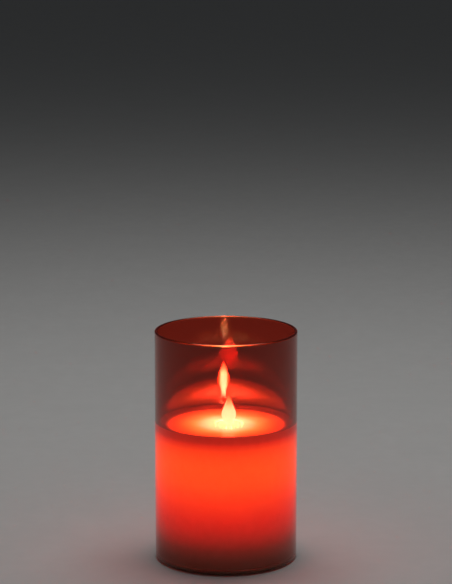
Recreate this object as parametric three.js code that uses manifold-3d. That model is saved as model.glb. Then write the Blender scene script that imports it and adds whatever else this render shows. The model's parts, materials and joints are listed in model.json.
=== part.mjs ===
// Flameless LED candle with a swinging flame, in a red-tinted glass cylinder.
// Units are millimetres, +Z is up, and the origin is the centre of the footprint on the table.
// The front of the candle faces -Y, so the flat side of the flame is seen from -Y.

import * as THREE from "three";
import { mergeVertices } from "three/addons/utils/BufferGeometryUtils.js";
import Module from "manifold-3d";

const wasm = await Module();
wasm.setup();

// ---------------------------------------------------------------- driving dimensions

const GAP = 0.3;                     // clearance between pieces that rest on each other
const ROUND = 48;                    // facets around the glass and the wax
const SMALL_ROUND = 12;              // facets around screws and other small turned pieces

const GLASS_DIAMETER = 76;
const GLASS_WALL = 1.5;
const GLASS_BOTTOM = 1;              // the feet lift the glass edge off the table
const GLASS_TOP = 124.5;

const WAX_RADIUS = GLASS_DIAMETER / 2 - GLASS_WALL - 0.4;
const WAX_WALL = 4.5;
const WAX_BOTTOM = 2.9;
const WAX_EDGE_TOP = 75.4;           // the raised edge that clings to the glass
const WAX_POOL = 73.6;               // the dished top that looks like melted wax
const WAX_POOL_RADIUS = 33;
const WAX_CEILING = 67;              // underside of the top plate
const WAX_HOLE = { width: 14, depth: 20, corner: 6.5 };

const BASE_BOTTOM = 1.6;
const BASE_THICKNESS = 3;
const BASE_TOP = BASE_BOTTOM + BASE_THICKNESS;
const BASE_PLUG_RADIUS = WAX_RADIUS - WAX_WALL - 0.4;
const BASE_FLANGE_RADIUS = WAX_RADIUS - 0.1;
const BASE_FLANGE_THICKNESS = 1;
const FOOT_RADIUS = 3;
const FOOT_CIRCLE = 31.8;
const FOOT_ANGLES = [45, 135, 225, 315];

const CELL_DIAMETER = 10.5;          // three AAA cells lie side by side along X
const CELL_LENGTH = 44.5;
const CELL_NUB = { radius: 1.9, height: 0.8 };
const CELL_PITCH = 10.9;
const CELL_HEIGHT = 10.2;            // height of the cells' axes
const BOX_CAVITY = { length: 49, width: 33, corner: 1.8 };
const BOX_WALL = 1.2;
const BOX_BOTTOM = BASE_TOP + GAP;
const BOX_TOP = 17.1;
const CELL_RIB = { length: 40, thickness: 0.5, depth: 2.4 };
const CONTACT_X = 24;                // middle of the contact plates
const CONTACT_THICKNESS = 0.4;
const CONTACT_WIDTH = 8;
const SPRING = { radius: 3.4, tipRadius: 2.2, wire: 0.3, length: 2.2, turns: 2.5 };
const TAB = { width: 2.5, top: 18.3, slotWidth: 3.5, slotLength: 1.3 };

const DOOR_OPENING = { minX: -24.4, maxX: 24, halfWidth: 16.1 };
const DOOR_THICKNESS = 2.4;
const DOOR_PLAY = 0.4;
const DOOR_PIVOT = { x: -22.8, z: BASE_BOTTOM + BASE_THICKNESS / 2 };
const FINGER_NOTCH = { radius: 4, depth: 1.2 };
const DOOR_GRIP = { count: 4, width: 1, length: 12, depth: 0.5, inset: 4, pitch: 2 };
const DOOR_PEG = { radius: 0.8, socketRadius: 1.1, length: 1.7 };

const SWITCH_Y = 23.5;
const SWITCH_BODY = { length: 12, width: 5.6, height: 4.2 };
const SWITCH_TERMINALS = { places: [-2.5, 0, 2.5], width: 0.8, thickness: 0.3, length: 2 };
const SWITCH_POCKET = { length: 8, width: 3, depth: 1.8 };
const SWITCH_STEM = { length: 2, width: 1.8, bottom: 0.6 };
const SWITCH_CARRIAGE = { length: 3.4, width: 2.4, height: 1.2 };
const SWITCH_SLOT = { length: 6.6, width: 2.6 };
const SWITCH_RECESS = { length: 10, width: 5, depth: 1 };

const BOSS_PLACES = [[-14, -20.3], [14, -20.3], [-14, 20.3], [14, 20.3]];
const BOSS_RADIUS = 2.8;
const BOSS_TOP = 14;

const BOARD = { length: 30, width: 18, bottom: 20.5, thickness: 1.6 };
const BOARD_TOP = BOARD.bottom + BOARD.thickness;
const CHIP = {
  width: 4, span: 6, length: 5, height: 1.6, leg: 0.4, legPlaces: [-1.9, -0.6, 0.6, 1.9], place: [-5, -3],
};
const CAPACITOR = { radius: 2, height: 4, chamfer: 0.3, place: [8, -2] };
const TRANSISTOR = { size: [2.8, 1.4], height: 1, place: [2, -5.5] };
const RESISTOR = { size: [1.2, 2], height: 0.5, places: [[-7, 4.5], [-4.5, 4.5]] };
const STANDOFF = { x: 12.5, radius: 2.2 };

const DECK = {
  halfLength: 20, halfWidth: 9, bottom: 27, thickness: 1.6, leg: 1.6, flange: 5, flangeThickness: 1.4,
};
const DECK_TOP = DECK.bottom + DECK.thickness;
const DECK_SCREW_X = 22.8;

const TOWER_X = 1.5;                 // the flame unit sits slightly to the right of the candle's axis
const TOWER_Y = -0.6;
const TOWER = { width: 19, depth: 21, corner: 3, wall: 1.2, bottom: DECK_TOP + GAP, top: 66.5 };
const COLLAR = { width: 13.4, depth: 19.4, corner: 6.2, top: 72.9 };
const TOWER_EAR = { length: 6, width: 6.4, thickness: 1.5, screwX: 12.4, screwY: 4 };
const SHELL_BOSS = { length: 4.6, height: 5, depth: 8, z: 52, screwX: 11.4 };
const CABLE_EXIT = { halfWidth: 3.2, minY: 4.5, maxY: 8 };

const FLAME_Y = -3.2;                // plane of the flame, in front of the light source
const PIVOT_Z = 65;
const PIVOT_WIRE_RADIUS = 0.4;
const PIVOT_HOLE_RADIUS = 0.8;
const FLAME_TIP = 25;                // heights below are measured from the pivot
const FLAME_WIDEST = 14.5;
const FLAME_NECK = 7.5;
const FLAME_HALF_WIDTH = 3.9;
const FLAME_NECK_HALF = 1.2;
const FLAME_THICKNESS = 1.6;
const PADDLE_BOSS_HALF = 2.3;
const PADDLE_TAIL_HALF = 1.5;
const PADDLE_TAIL_END = -18;
const MAGNET_PAD = { radius: 3.2, thickness: 1.2 };
const MAGNET = { radius: 3, height: 3 };

const COIL = { core: 2.5, flange: 6.2, flangeThickness: 1, height: 10, bore: 1.2, bottom: 30.4 };
const LED = {
  radius: 1.5, flange: 1.9, flangeThickness: 0.8, length: 5.3, tilt: 35, tipY: 2.6, tipZ: 71.5,
};
const LED_LEAD = { spacing: 1.27, radius: 0.25, endY: 7.1, endZ: 58 };
const LED_HOLDER = { width: 6.4, minY: 2.4, maxY: 7.4, bottom: 67.2, top: 70.2, bore: 1.85 };

const WIRE_RADIUS = 0.5;
const COIL_WIRE_RADIUS = 0.2;

const SCREWS = {
  base: { head: 2.4, headHeight: 1.4, shank: 1, length: 10, cross: 0.6 },
  small: { head: 1.9, headHeight: 1.2, shank: 0.9, length: 3, cross: 0.5 },
};

// ---------------------------------------------------------------- materials

function standard(color, roughness, metalness) {
  return new THREE.MeshStandardMaterial({ color, roughness, metalness });
}

const FINISH = {
  glass: () => standard("#b3160c", 0.05, 0),
  wax: () => standard("#f6e6c4", 0.55, 0),
  ivoryPlastic: () => standard("#efe6d2", 0.5, 0),
  whitePlastic: () => standard("#f2f0ea", 0.45, 0),
  blackPlastic: () => standard("#1c1c1e", 0.5, 0),
  flame: () => standard("#ffe9b8", 0.4, 0),
  steel: () => standard("#b9bcc0", 0.3, 1),
  nickel: () => standard("#d6d2c8", 0.25, 1),
  copper: () => standard("#b5652d", 0.35, 1),
  cellWrap: () => standard("#2b3a55", 0.35, 0.2),
  board: () => standard("#1f6b3a", 0.45, 0),
  lens: () => standard("#fff3d0", 0.1, 0),
  rubber: () => standard("#2a2a2a", 0.85, 0),
  redWire: () => standard("#b81d1d", 0.5, 0),
  blackWire: () => standard("#17171a", 0.5, 0),
};

// ---------------------------------------------------------------- geometry helpers

function toSolid(geometry) {
  const bare = geometry.clone();
  bare.deleteAttribute("normal");
  bare.deleteAttribute("uv");
  const merged = mergeVertices(bare);
  const vertProperties = new Float32Array(merged.attributes.position.array);
  const triVerts = new Uint32Array(merged.index.array);
  return new wasm.Manifold(new wasm.Mesh({ numProp: 3, vertProperties, triVerts }));
}

function toGeometry(solid) {
  const mesh = solid.getMesh();
  const geometry = new THREE.BufferGeometry();
  geometry.setAttribute("position", new THREE.BufferAttribute(new Float32Array(mesh.vertProperties), 3));
  geometry.setIndex(new THREE.BufferAttribute(new Uint32Array(mesh.triVerts), 1));
  geometry.computeVertexNormals();
  return geometry;
}

function combine(base, joined, cut = []) {
  let solid = toSolid(base);
  for (const piece of joined) {
    solid = solid.add(toSolid(piece));
  }
  for (const piece of cut) {
    solid = solid.subtract(toSolid(piece));
  }
  return toGeometry(solid);
}

function common(first, second) {
  return toGeometry(toSolid(first).intersect(toSolid(second)));
}

// A solid turned about Z from [radius, height] points, counter-clockwise round the section.
function turned(points, facets = SMALL_ROUND) {
  const profile = points.map(([radius, height]) => new THREE.Vector2(radius, height));
  return new THREE.LatheGeometry(profile, facets).rotateX(Math.PI / 2);
}

function disc(radius, bottom, top, facets = SMALL_ROUND) {
  return turned([[0, bottom], [radius, bottom], [radius, top], [0, top]], facets);
}

function block(minX, maxX, minY, maxY, minZ, maxZ) {
  const box = new THREE.BoxGeometry(maxX - minX, maxY - minY, maxZ - minZ);
  return box.translate((minX + maxX) / 2, (minY + maxY) / 2, (minZ + maxZ) / 2);
}

// A block centred on x = 0 and y = 0.
function centredBlock(length, width, minZ, maxZ) {
  return block(-length / 2, length / 2, -width / 2, width / 2, minZ, maxZ);
}

function roundedRectangle(width, depth, corner) {
  const halfWidth = width / 2;
  const halfDepth = depth / 2;
  const shape = new THREE.Shape();
  shape.absarc(halfWidth - corner, -halfDepth + corner, corner, -Math.PI / 2, 0);
  shape.absarc(halfWidth - corner, halfDepth - corner, corner, 0, Math.PI / 2);
  shape.absarc(-halfWidth + corner, halfDepth - corner, corner, Math.PI / 2, Math.PI);
  shape.absarc(-halfWidth + corner, -halfDepth + corner, corner, Math.PI, 1.5 * Math.PI);
  shape.closePath();
  return shape;
}

function prism(shape, bottom, top, curveSegments = 5) {
  const settings = { depth: top - bottom, bevelEnabled: false, curveSegments };
  return new THREE.ExtrudeGeometry(shape, settings).translate(0, 0, bottom);
}

// An outline drawn in X and Z, given a thickness along Y about y = 0.
function plateAcrossY(shape, thickness, curveSegments = 8) {
  const settings = { depth: thickness, bevelEnabled: false, curveSegments };
  const plate = new THREE.ExtrudeGeometry(shape, settings).rotateX(Math.PI / 2);
  return plate.translate(0, thickness / 2, 0);
}

function polygon(points) {
  return new THREE.Shape(points.map(([x, y]) => new THREE.Vector2(x, y)));
}

function tube(points, radius, steps, sides = 8) {
  const curve = new THREE.CatmullRomCurve3(points.map(([x, y, z]) => new THREE.Vector3(x, y, z)));
  return tubeAlong(curve, radius, steps, sides);
}

function tubeAlong(curve, radius, steps, sides) {
  const corners = [];
  for (let side = 0; side < sides; side += 1) {
    const angle = (side / sides) * 2 * Math.PI;
    corners.push([radius * Math.cos(angle), radius * Math.sin(angle)]);
  }
  return new THREE.ExtrudeGeometry(polygon(corners), { extrudePath: curve, steps, bevelEnabled: false });
}

// A screw with its head's face on z = 0 and its shank pointing up, with a cross recess in the head.
function screw({ head, headHeight, shank, length, cross }) {
  const body = turned([[0, 0], [head * 0.85, 0], [head, headHeight * 0.35], [head, headHeight],
    [shank, headHeight], [shank, headHeight + length], [0, headHeight + length]]);
  const half = cross / 2;
  const reach = head * 0.6;
  const depth = headHeight * 0.6;
  const recess = [block(-reach, reach, -half, half, -1, depth), block(-half, half, -reach, reach, -1, depth)];
  return combine(body, [], recess);
}

const candle = new THREE.Group();

function addPiece(name, geometry, finish, parent = candle) {
  const mesh = new THREE.Mesh(geometry, finish());
  mesh.name = name;
  parent.add(mesh);
  return mesh;
}

// ---------------------------------------------------------------- glass and wax

function addGlass() {
  const outer = GLASS_DIAMETER / 2;
  const inner = outer - GLASS_WALL;
  const middle = (outer + inner) / 2;
  const lip = GLASS_WALL / 2;
  const chamfer = 0.4;
  const profile = [
    [inner, GLASS_BOTTOM + chamfer],
    [inner + chamfer, GLASS_BOTTOM],
    [outer - chamfer, GLASS_BOTTOM],
    [outer, GLASS_BOTTOM + chamfer],
  ];
  const lipFacets = 4;
  for (let step = 0; step <= lipFacets; step += 1) {
    const angle = (step / lipFacets) * Math.PI;
    profile.push([middle + lip * Math.cos(angle), GLASS_TOP - lip + lip * Math.sin(angle)]);
  }
  profile.push(profile[0]);
  addPiece("glass_cylinder", turned(profile, ROUND), FINISH.glass);
}

function addWax() {
  const inner = WAX_RADIUS - WAX_WALL;
  const ceilingChamfer = 3;
  const shell = turned([
    [0, WAX_CEILING],
    [inner - ceilingChamfer, WAX_CEILING],
    [inner, WAX_CEILING - ceilingChamfer],
    [inner, WAX_BOTTOM],
    [WAX_RADIUS, WAX_BOTTOM],
    [WAX_RADIUS, WAX_EDGE_TOP - 0.3],
    [WAX_RADIUS - 0.3, WAX_EDGE_TOP],
    [WAX_RADIUS - 0.8, WAX_EDGE_TOP - 0.1],
    [WAX_POOL_RADIUS + 1.2, WAX_POOL + 0.9],
    [WAX_POOL_RADIUS, WAX_POOL + 0.3],
    [WAX_POOL_RADIUS - 1.6, WAX_POOL],
    [0, WAX_POOL],
  ], ROUND);
  const outline = roundedRectangle(WAX_HOLE.width, WAX_HOLE.depth, WAX_HOLE.corner);
  const hole = prism(outline, WAX_CEILING - 1, WAX_POOL + 1, 6).translate(TOWER_X, TOWER_Y, 0);
  addPiece("wax_shell", combine(shell, [], [hole]), FINISH.wax);
}

// ---------------------------------------------------------------- base, feet and battery door

function footPlace(degrees) {
  const angle = THREE.MathUtils.degToRad(degrees);
  return [FOOT_CIRCLE * Math.cos(angle), FOOT_CIRCLE * Math.sin(angle)];
}

function addBaseCap() {
  const plate = turned([
    [0, BASE_BOTTOM],
    [BASE_FLANGE_RADIUS, BASE_BOTTOM],
    [BASE_FLANGE_RADIUS, BASE_BOTTOM + BASE_FLANGE_THICKNESS],
    [BASE_PLUG_RADIUS, BASE_BOTTOM + BASE_FLANGE_THICKNESS],
    [BASE_PLUG_RADIUS, BASE_TOP],
    [0, BASE_TOP],
  ], ROUND);
  const below = BASE_BOTTOM - 1;
  const above = BASE_TOP + 1;
  const { minX, maxX, halfWidth } = DOOR_OPENING;
  const socketReach = halfWidth + DOOR_PEG.length;
  const socket = disc(DOOR_PEG.socketRadius, -socketReach, socketReach, 12).rotateX(Math.PI / 2);
  const fingerNotch = disc(FINGER_NOTCH.radius, below, BASE_BOTTOM + FINGER_NOTCH.depth, 24);
  const slot = centredBlock(SWITCH_SLOT.length, SWITCH_SLOT.width, below, above);
  const recessTop = BASE_BOTTOM + SWITCH_RECESS.depth;
  const recess = centredBlock(SWITCH_RECESS.length, SWITCH_RECESS.width, below, recessTop);
  const cuts = [
    block(minX, maxX, -halfWidth, halfWidth, below, above),
    socket.translate(DOOR_PIVOT.x, 0, DOOR_PIVOT.z),
    fingerNotch.translate(maxX, 0, 0),
    slot.translate(0, SWITCH_Y, 0),
    recess.translate(0, SWITCH_Y, 0),
  ];
  const head = SCREWS.base;
  for (const [x, y] of BOSS_PLACES) {
    cuts.push(disc(head.shank + GAP, below, above).translate(x, y, 0));
    cuts.push(disc(head.head + GAP, below, BASE_BOTTOM + head.headHeight + 2 * GAP).translate(x, y, 0));
  }
  addPiece("base_cap", combine(plate, [], cuts), FINISH.ivoryPlastic);
}

function addFeet() {
  FOOT_ANGLES.forEach((degrees, index) => {
    const [x, y] = footPlace(degrees);
    const height = BASE_BOTTOM - GAP;
    const chamfer = 0.3;
    const profile = [
      [0, 0], [FOOT_RADIUS - chamfer, 0], [FOOT_RADIUS, chamfer], [FOOT_RADIUS, height], [0, height],
    ];
    const pad = turned(profile, 24);
    addPiece(`foot_pad_${index + 1}`, pad, FINISH.rubber).position.set(x, y, 0);
  });
}

// The door is a plate with a round hinge edge and two pegs, modelled about its hinge axis.
function addBatteryDoor() {
  const half = DOOR_THICKNESS / 2;
  const length = DOOR_OPENING.maxX - DOOR_PLAY - DOOR_PIVOT.x;
  const halfWidth = DOOR_OPENING.halfWidth - DOOR_PLAY;
  const outline = new THREE.Shape();
  outline.moveTo(0, -half);
  outline.lineTo(length - 0.5, -half);
  outline.lineTo(length, -half + 0.5);
  outline.lineTo(length, half);
  outline.lineTo(0, half);
  outline.absarc(0, 0, half, Math.PI / 2, 1.5 * Math.PI);
  const plate = plateAcrossY(outline, 2 * halfWidth, 6);
  const reach = halfWidth + DOOR_PEG.length;
  const pegs = disc(DOOR_PEG.radius, -reach, reach, 12).rotateX(Math.PI / 2);
  const grips = [];
  for (let index = 0; index < DOOR_GRIP.count; index += 1) {
    const groove = centredBlock(DOOR_GRIP.width, DOOR_GRIP.length, -half - 1, -half + DOOR_GRIP.depth);
    grips.push(groove.translate(length - DOOR_GRIP.inset - DOOR_GRIP.pitch * index, 0, 0));
  }
  const door = addPiece("battery_door", combine(plate, [pegs], grips), FINISH.ivoryPlastic);
  door.position.set(DOOR_PIVOT.x, 0, DOOR_PIVOT.z);
}

// ---------------------------------------------------------------- battery box, cells and contacts

// Cell 1 and cell 3 point their plus ends to +X, and cell 2 points its plus end to -X.
const CELLS = [
  { y: -CELL_PITCH, plusSide: 1 },
  { y: 0, plusSide: -1 },
  { y: CELL_PITCH, plusSide: 1 },
];

function addBatteryBox() {
  const { length, width, corner } = BOX_CAVITY;
  const outerShape = roundedRectangle(length + 2 * BOX_WALL, width + 2 * BOX_WALL, corner + BOX_WALL);
  const outer = prism(outerShape, BOX_BOTTOM, BOX_TOP);
  const ceiling = BOX_TOP - BOX_WALL;
  const cuts = [prism(roundedRectangle(length, width, corner), BOX_BOTTOM - 1, ceiling)];
  const joined = [];
  for (const [x, y] of BOSS_PLACES) {
    joined.push(disc(BOSS_RADIUS, BOX_BOTTOM, BOSS_TOP).translate(x, y, 0));
    cuts.push(disc(SCREWS.base.shank + GAP, BOX_BOTTOM - 1, BOSS_TOP - 0.6).translate(x, y, 0));
  }
  for (const side of [-1, 1]) {
    joined.push(disc(STANDOFF.radius, BOX_TOP - 0.5, BOARD.bottom - GAP).translate(side * STANDOFF.x, 0, 0));
    cuts.push(disc(SCREWS.small.shank + GAP, BOX_TOP + 0.3, BOARD.bottom).translate(side * STANDOFF.x, 0, 0));
    cuts.push(disc(SCREWS.small.shank + GAP, ceiling - 1, BOX_TOP + 1).translate(side * DECK_SCREW_X, 0, 0));
    const tabSlot = block(-TAB.slotLength / 2, TAB.slotLength / 2, -TAB.slotWidth / 2, TAB.slotWidth / 2,
      ceiling - 1, BOX_TOP + 1);
    cuts.push(tabSlot.translate(side * CONTACT_X, -side * CELL_PITCH, 0));
  }
  const shell = combine(outer, joined, cuts);
  const ribs = [-1, 1].map((side) => {
    const rib = centredBlock(CELL_RIB.length, CELL_RIB.thickness, ceiling - CELL_RIB.depth, ceiling + 0.2);
    return rib.translate(0, (side * CELL_PITCH) / 2, 0);
  });
  addPiece("battery_box", combine(shell, ribs), FINISH.blackPlastic);
}

function addCells() {
  const radius = CELL_DIAMETER / 2;
  const plusFace = CONTACT_X - CONTACT_THICKNESS / 2 - GAP;
  const chamfer = 0.4;
  const shoulder = -CELL_NUB.height;
  const profile = [
    [0, -CELL_LENGTH],
    [radius - chamfer, -CELL_LENGTH],
    [radius, chamfer - CELL_LENGTH],
    [radius, shoulder - chamfer],
    [radius - chamfer, shoulder],
    [CELL_NUB.radius, shoulder],
    [CELL_NUB.radius, 0],
    [0, 0],
  ];
  CELLS.forEach(({ y, plusSide }, index) => {
    const shape = turned(profile, 20).rotateY((plusSide * Math.PI) / 2);
    const cell = addPiece(`battery_cell_${index + 1}`, shape, FINISH.cellWrap);
    cell.position.set(plusSide * plusFace, y, CELL_HEIGHT);
  });
}

class ConicalSpring extends THREE.Curve {
  getPoint(t, target = new THREE.Vector3()) {
    const angle = t * SPRING.turns * 2 * Math.PI;
    const radius = THREE.MathUtils.lerp(SPRING.radius, SPRING.tipRadius, t);
    return target.set(t * SPRING.length, radius * Math.cos(angle), radius * Math.sin(angle));
  }
}

// A flat contact on the left or right end wall, with a coil spring where a cell's minus end presses.
function contact(side, minY, maxY, springYs, tabY) {
  const half = CONTACT_THICKNESS / 2;
  const bottom = CELL_HEIGHT - CONTACT_WIDTH / 2;
  const top = CELL_HEIGHT + CONTACT_WIDTH / 2;
  const plate = block(-half, half, minY, maxY, bottom, top);
  const joined = [];
  if (tabY !== null) {
    joined.push(block(-half, half, tabY - TAB.width / 2, tabY + TAB.width / 2, top - 0.2, TAB.top));
  }
  for (const y of springYs) {
    const coil = tubeAlong(new ConicalSpring(), SPRING.wire, 30, 6);
    joined.push(coil.rotateZ(side > 0 ? Math.PI : 0).translate(0, y, CELL_HEIGHT));
  }
  return combine(plate, joined).translate(side * CONTACT_X, 0, 0);
}

function addContacts() {
  const reach = CONTACT_WIDTH / 2;
  const [first, second, third] = CELLS.map((cell) => cell.y);
  addPiece("positive_contact", contact(1, first - reach, first + reach, [], first), FINISH.nickel);
  addPiece("negative_contact", contact(-1, third - reach, third + reach, [third], third), FINISH.nickel);
  addPiece("bridge_contact_left", contact(-1, first - reach, second + reach, [first], null), FINISH.nickel);
  addPiece("bridge_contact_right", contact(1, second - reach, third + reach, [second], null), FINISH.nickel);
}

// ---------------------------------------------------------------- slide switch

function addSwitch() {
  const bottom = BASE_TOP + GAP;
  const top = bottom + SWITCH_BODY.height;
  const body = centredBlock(SWITCH_BODY.length, SWITCH_BODY.width, bottom, top);
  const terminals = SWITCH_TERMINALS.places.map((x) => centredBlock(SWITCH_TERMINALS.width,
    SWITCH_TERMINALS.thickness, top - 0.2, top + SWITCH_TERMINALS.length).translate(x, 0, 0));
  const pocketTop = bottom + SWITCH_POCKET.depth;
  const pocket = centredBlock(SWITCH_POCKET.length, SWITCH_POCKET.width, bottom - 1, pocketTop);
  const housing = addPiece("switch_body", combine(body, terminals, [pocket]), FINISH.blackPlastic);
  housing.position.set(0, SWITCH_Y, 0);

  const carriageBottom = bottom + 0.2;
  const carriageTop = carriageBottom + SWITCH_CARRIAGE.height;
  const plate = centredBlock(SWITCH_CARRIAGE.length, SWITCH_CARRIAGE.width, carriageBottom, carriageTop);
  const stemTop = carriageBottom + 0.2;
  const button = centredBlock(SWITCH_STEM.length, SWITCH_STEM.width, SWITCH_STEM.bottom, stemTop);
  addPiece("switch_lever", combine(plate, [button]), FINISH.whitePlastic).position.set(0, SWITCH_Y, 0);
}

// ---------------------------------------------------------------- circuit board and deck

function addBoard() {
  const { length, width, bottom } = BOARD;
  const plate = prism(roundedRectangle(length, width, 1.5), bottom, BOARD_TOP, 3);
  const holes = [-1, 1].map((side) => disc(SCREWS.small.shank + GAP, bottom - 1, BOARD_TOP + 1)
    .translate(side * STANDOFF.x, 0, 0));
  addPiece("circuit_board", combine(plate, [], holes), FINISH.board);

  const seat = BOARD_TOP + GAP;
  const chipBody = centredBlock(CHIP.width, CHIP.length, CHIP.leg / 2, CHIP.height);
  const legs = CHIP.legPlaces.map((y) => centredBlock(CHIP.span, CHIP.leg, 0, CHIP.leg).translate(0, y, 0));
  const chip = addPiece("controller_chip", combine(chipBody, legs), FINISH.blackPlastic);
  chip.position.set(...CHIP.place, seat);

  const { radius, height, chamfer } = CAPACITOR;
  const can = turned([
    [0, 0], [radius, 0], [radius, height - chamfer], [radius - chamfer, height], [0, height],
  ]);
  addPiece("capacitor", can, FINISH.steel).position.set(...CAPACITOR.place, seat);

  const transistor = centredBlock(...TRANSISTOR.size, 0, TRANSISTOR.height);
  addPiece("transistor", transistor, FINISH.blackPlastic).position.set(...TRANSISTOR.place, seat);
  RESISTOR.places.forEach((place, index) => {
    const resistor = centredBlock(...RESISTOR.size, 0, RESISTOR.height);
    addPiece(`resistor_${index + 1}`, resistor, FINISH.blackPlastic).position.set(...place, seat);
  });
}

function addDeck() {
  const { halfLength, halfWidth, bottom, leg, flange, flangeThickness } = DECK;
  const foot = BOX_TOP + GAP;
  const inner = halfLength - leg;
  const outline = polygon([
    [-halfLength - flange, foot], [-inner, foot], [-inner, bottom], [inner, bottom], [inner, foot],
    [halfLength + flange, foot], [halfLength + flange, foot + flangeThickness],
    [halfLength, foot + flangeThickness], [halfLength, DECK_TOP], [-halfLength, DECK_TOP],
    [-halfLength, foot + flangeThickness], [-halfLength - flange, foot + flangeThickness],
  ]);
  const frame = plateAcrossY(outline, 2 * halfWidth);
  const exitMinX = TOWER_X - CABLE_EXIT.halfWidth;
  const exitMaxX = TOWER_X + CABLE_EXIT.halfWidth;
  const cuts = [block(exitMinX, exitMaxX, CABLE_EXIT.minY, halfWidth + 1, bottom - 1, DECK_TOP + 1)];
  const holeRadius = SCREWS.small.shank + GAP;
  for (const side of [-1, 1]) {
    const footHole = disc(holeRadius, foot - 1, foot + flangeThickness + 1);
    cuts.push(footHole.translate(side * DECK_SCREW_X, 0, 0));
    const towerHole = disc(holeRadius, bottom - 1, DECK_TOP + 1);
    cuts.push(towerHole.translate(TOWER_X + side * TOWER_EAR.screwX, side * TOWER_EAR.screwY, 0));
  }
  addPiece("tower_deck", combine(frame, [], cuts), FINISH.whitePlastic);
}

// ---------------------------------------------------------------- flame tower

// The opening of the collar, made smaller all round by the clearance that is asked for.
function mouthShape(clearance) {
  const inset = TOWER.wall + clearance;
  return roundedRectangle(COLLAR.width - 2 * inset, COLLAR.depth - 2 * inset, COLLAR.corner - inset);
}

// The ear and the screw boss that stick out of one side of the tower, with their screw holes.
function towerSide(side) {
  const edge = TOWER.width / 2 - 0.4;
  const earY = side * TOWER_EAR.screwY - TOWER_Y;
  const earTop = TOWER.bottom + TOWER_EAR.thickness;
  const ear = block(edge, TOWER.width / 2 + TOWER_EAR.length, earY - TOWER_EAR.width / 2,
    earY + TOWER_EAR.width / 2, TOWER.bottom, earTop);
  const halfDepth = SHELL_BOSS.depth / 2;
  const halfHeight = SHELL_BOSS.height / 2;
  const boss = block(edge, TOWER.width / 2 + SHELL_BOSS.length, -halfDepth, halfDepth,
    SHELL_BOSS.z - halfHeight, SHELL_BOSS.z + halfHeight);
  const holeRadius = SCREWS.small.shank + GAP;
  const earHole = disc(holeRadius, TOWER.bottom - 1, earTop + 1);
  const bossHole = disc(holeRadius, -halfDepth - 1, halfDepth - 1).rotateX(-Math.PI / 2);
  const turn = side > 0 ? 0 : Math.PI;
  return {
    joined: [ear.translate(0, -earY, 0).rotateZ(turn).translate(0, earY, 0), boss.rotateZ(turn)],
    cuts: [
      earHole.translate(side * TOWER_EAR.screwX, earY, 0),
      bossHole.translate(side * SHELL_BOSS.screwX, 0, SHELL_BOSS.z),
    ],
  };
}

// The whole tower is shaped first, and then split by a plane across Y into two shells.
function towerBody() {
  const { width, depth, corner, wall, bottom, top } = TOWER;
  const body = prism(roundedRectangle(width, depth, corner), bottom, top);
  const collarShape = roundedRectangle(COLLAR.width, COLLAR.depth, COLLAR.corner);
  const cavityShape = roundedRectangle(width - 2 * wall, depth - 2 * wall, corner - wall);
  const wireHole = disc(PIVOT_WIRE_RADIUS + GAP, -depth, depth, 12).rotateX(Math.PI / 2);
  const exit = block(-CABLE_EXIT.halfWidth, CABLE_EXIT.halfWidth, CABLE_EXIT.minY - TOWER_Y,
    CABLE_EXIT.maxY - TOWER_Y, bottom - 1, bottom + wall + 1);
  const sides = [-1, 1].map(towerSide);
  const joined = [prism(collarShape, top - 0.5, COLLAR.top, 6), ...sides.flatMap((side) => side.joined)];
  const cuts = [
    prism(cavityShape, bottom + wall, top - wall),
    prism(mouthShape(0), top - wall - 1, COLLAR.top + 1, 6),
    wireHole.translate(0, 0, PIVOT_Z),
    exit,
    ...sides.flatMap((side) => side.cuts),
  ];
  return combine(body, joined, cuts);
}

function addTower() {
  const body = towerBody();
  const reach = 30;
  const split = GAP / 2;
  const frontHalf = block(-reach, reach, -reach, -split, 0, GLASS_TOP);
  const rearHalf = block(-reach, reach, split, reach, 0, GLASS_TOP);
  const tower = new THREE.Group();
  tower.position.set(TOWER_X, TOWER_Y, 0);
  candle.add(tower);
  addPiece("tower_shell_front", common(body, frontHalf), FINISH.whitePlastic, tower);
  addPiece("tower_shell_rear", common(body, rearHalf), FINISH.whitePlastic, tower);

  const wireHalf = TOWER.depth / 2 - 0.4;
  const wire = disc(PIVOT_WIRE_RADIUS, -wireHalf, wireHalf, 12).rotateX(Math.PI / 2);
  addPiece("pivot_wire", wire, FINISH.steel, tower).position.set(0, 0, PIVOT_Z);
}

// One side of the paddle's outline, from the tip of the flame down to the end of the tail, or back up again.
function paddleSide(outline, side) {
  const wide = side * FLAME_HALF_WIDTH;
  const neck = side * FLAME_NECK_HALF;
  const boss = side * PADDLE_BOSS_HALF;
  const tail = side * PADDLE_TAIL_HALF;
  const curves = [
    [[0, FLAME_TIP], [side * 1.1, FLAME_TIP - 3.2], [wide, FLAME_WIDEST + 4.4], [wide, FLAME_WIDEST]],
    [[wide, FLAME_WIDEST], [wide, FLAME_WIDEST - 3.6], [neck, FLAME_NECK + 3], [neck, FLAME_NECK]],
    [[neck, FLAME_NECK], [neck, 3], [boss, 3], [boss, 0]],
    [[boss, 0], [boss, -3], [tail, -3], [tail, -6]],
    [[tail, -6], [tail, -10], [tail, -14], [tail, PADDLE_TAIL_END]],
  ];
  const path = side < 0 ? curves : curves.reverse().map((curve) => curve.reverse());
  for (const [, first, second, end] of path) {
    outline.bezierCurveTo(...first, ...second, ...end);
  }
}

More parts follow.
